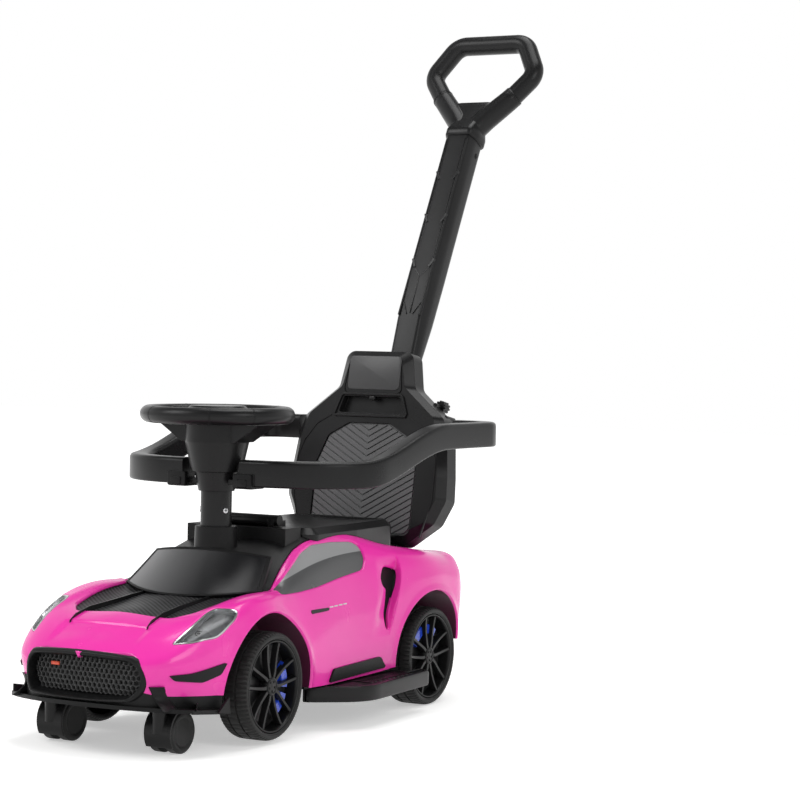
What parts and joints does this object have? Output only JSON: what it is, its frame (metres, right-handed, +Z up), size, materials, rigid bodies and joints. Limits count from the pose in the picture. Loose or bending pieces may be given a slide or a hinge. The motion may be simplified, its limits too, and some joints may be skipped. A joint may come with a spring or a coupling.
{
  "type": "ride-on push car",
  "caption": "Child's ride-on push car with hinged seat over a storage tub, steering wheel, guard rail, footrests and rear push handle.",
  "frame": {"origin": "on the floor under the middle of the whole car", "axes": "+X to the car's left, +Y from nose to tail, +Z up"},
  "size_m": [0.3922, 1.0158, 0.9377],
  "materials": {
    "shell_gloss": "high gloss moulded shell",
    "tyre_plastic": "matt hard tyre",
    "rim_gloss": "satin gloss",
    "brake_plastic": "satin",
    "smoke_panel": "smooth smoked panel",
    "lens_clear": "clear",
    "reflector": "bright reflector",
    "lamp_red": "gloss",
    "steel": "plain drawn rod",
    "trim_gloss": "textured gloss trim",
    "panel_grey": "ribbed satin",
    "grip_plastic": "fine grain",
    "black_plastic": "fine grain"
  },
  "bodies": {
    "car": {"backrest_cover": "black_plastic", "backrest_panel": "panel_grey", "backrest_shell": "black_plastic", "body_shell": "shell_gloss", "canards": "black_plastic", "column_tube": "black_plastic", "floor_pan": "black_plastic", "footrest_left": "black_plastic", "footrest_right": "black_plastic", "front_fender_left": "shell_gloss", "front_fender_right": "shell_gloss", "front_splitter": "black_plastic", "grille_frame": "trim_gloss", "grille_mesh": "black_plastic", "guard_bracket": "black_plastic", "guard_rail": "black_plastic", "handle_grip": "grip_plastic", "handle_stem": "black_plastic", "handle_yoke": "black_plastic", "headlight_bowls": "reflector", "headlight_lens_left": "lens_clear", "headlight_lens_right": "lens_clear", "hinge_rod": "black_plastic", "hood_blades": "trim_gloss", "hood_panel": "trim_gloss", "rear_axle": "steel", "side_intakes": "black_plastic", "side_skirts": "black_plastic", "side_window_left": "smoke_panel", "side_window_right": "smoke_panel", "tail_lamps": "lamp_red", "top_deck": "black_plastic", "windscreen": "smoke_panel"},
    "steering": {"steering_wheel": "black_plastic", "steering_shaft": "steel"},
    "tie_rod": {"tie_rod": "black_plastic"},
    "wheel_button_left": {"wheel_button_left": "black_plastic"},
    "knuckle_left": {"knuckle_left": "steel"},
    "caster_fork_left": {"caster_fork_left": "black_plastic"},
    "caster_wheels_left": {"caster_wheels_left": "tyre_plastic"},
    "guard_knob_left": {"guard_knob_left": "black_plastic"},
    "wheel_button_right": {"wheel_button_right": "black_plastic"},
    "knuckle_right": {"knuckle_right": "steel"},
    "caster_fork_right": {"caster_fork_right": "black_plastic"},
    "caster_wheels_right": {"caster_wheels_right": "tyre_plastic"},
    "guard_knob_right": {"guard_knob_right": "black_plastic"},
    "wheel_front_left": {"tyre_front_left": "tyre_plastic", "rim_front_left": "rim_gloss", "brake_disc_front_left": "brake_plastic"},
    "wheel_front_right": {"tyre_front_right": "tyre_plastic", "rim_front_right": "rim_gloss", "brake_disc_front_right": "brake_plastic"},
    "wheel_rear_left": {"tyre_rear_left": "tyre_plastic", "rim_rear_left": "rim_gloss", "brake_disc_rear_left": "brake_plastic"},
    "wheel_rear_right": {"tyre_rear_right": "tyre_plastic", "rim_rear_right": "rim_gloss", "brake_disc_rear_right": "brake_plastic"},
    "seat_lid": {"seat_lid": "black_plastic"},
    "snap_button": {"snap_button": "black_plastic"}
  },
  "joints": [
    {"name": "steer", "type": "hinge", "parent": "car", "child": "steering", "pos_m": [0, -0.22287, 0.387], "axis": [0, 0, 1], "range_deg": [-30, 30]},
    {"name": "tie_rod_slide", "type": "slide", "parent": "car", "child": "tie_rod", "axis": [1, 0, 0], "range_m": [-0.0136, 0.0136]},
    {"name": "knuckle_turn_left", "type": "hinge", "parent": "car", "child": "knuckle_left", "pos_m": [0.085, -0.30788, 0.069], "axis": [0, 0, 1], "range_deg": [-17.5, 17.5]},
    {"name": "wheel_spin_front_left", "type": "hinge", "parent": "knuckle_left", "child": "wheel_front_left", "pos_m": [0.124, -0.30788, 0.069], "axis": [1, 0, 0], "continuous": true},
    {"name": "wheel_spin_rear_left", "type": "hinge", "parent": "car", "child": "wheel_rear_left", "pos_m": [0.124, 0.07712, 0.065], "axis": [1, 0, 0], "continuous": true},
    {"name": "caster_swivel_left", "type": "hinge", "parent": "car", "child": "caster_fork_left", "pos_m": [0.078, -0.44688, 0.054], "axis": [0, 0, 1], "continuous": true},
    {"name": "caster_spin_left", "type": "hinge", "parent": "caster_fork_left", "child": "caster_wheels_left", "pos_m": [0.078, -0.42488, 0.025], "axis": [1, 0, 0], "continuous": true},
    {"name": "wheel_button_press_left", "type": "slide", "parent": "steering", "child": "wheel_button_left", "axis": [0, 0, -1], "range_m": [0, 0.002], "stiffness_N_per_m": 300},
    {"name": "guard_knob_turn_left", "type": "hinge", "parent": "car", "child": "guard_knob_left", "pos_m": [0.084, 0.1985, 0.39174], "axis": [0, 0.9854, -0.1702], "range_deg": [-90, 90]},
    {"name": "knuckle_turn_right", "type": "hinge", "parent": "car", "child": "knuckle_right", "pos_m": [-0.085, -0.30788, 0.069], "axis": [0, 0, 1], "range_deg": [-17.5, 17.5]},
    {"name": "wheel_spin_front_right", "type": "hinge", "parent": "knuckle_right", "child": "wheel_front_right", "pos_m": [-0.124, -0.30788, 0.069], "axis": [1, 0, 0], "continuous": true},
    {"name": "wheel_spin_rear_right", "type": "hinge", "parent": "car", "child": "wheel_rear_right", "pos_m": [-0.124, 0.07712, 0.065], "axis": [1, 0, 0], "continuous": true},
    {"name": "caster_swivel_right", "type": "hinge", "parent": "car", "child": "caster_fork_right", "pos_m": [-0.078, -0.44688, 0.054], "axis": [0, 0, 1], "continuous": true},
    {"name": "caster_spin_right", "type": "hinge", "parent": "caster_fork_right", "child": "caster_wheels_right", "pos_m": [-0.078, -0.42488, 0.025], "axis": [1, 0, 0], "continuous": true},
    {"name": "wheel_button_press_right", "type": "slide", "parent": "steering", "child": "wheel_button_right", "axis": [0, 0, -1], "range_m": [0, 0.002], "stiffness_N_per_m": 300},
    {"name": "guard_knob_turn_right", "type": "hinge", "parent": "car", "child": "guard_knob_right", "pos_m": [-0.084, 0.1985, 0.39174], "axis": [0, 0.9854, -0.1702], "range_deg": [-90, 90]},
    {"name": "seat_hinge", "type": "hinge", "parent": "car", "child": "seat_lid", "pos_m": [0, -0.15588, 0.253], "axis": [1, 0, 0], "range_deg": [0, 60]},
    {"name": "snap_press", "type": "slide", "parent": "car", "child": "snap_button", "axis": [-1, 0, 0], "range_m": [0, 0.003], "stiffness_N_per_m": 300}
  ],
  "couplings": [
    {"joint": "tie_rod_slide", "follows": "steer", "m_per_rad": -0.02575},
    {"joint": "knuckle_turn_left", "follows": "steer", "ratio": 0.58},
    {"joint": "knuckle_turn_right", "follows": "steer", "ratio": 0.58}
  ]
}
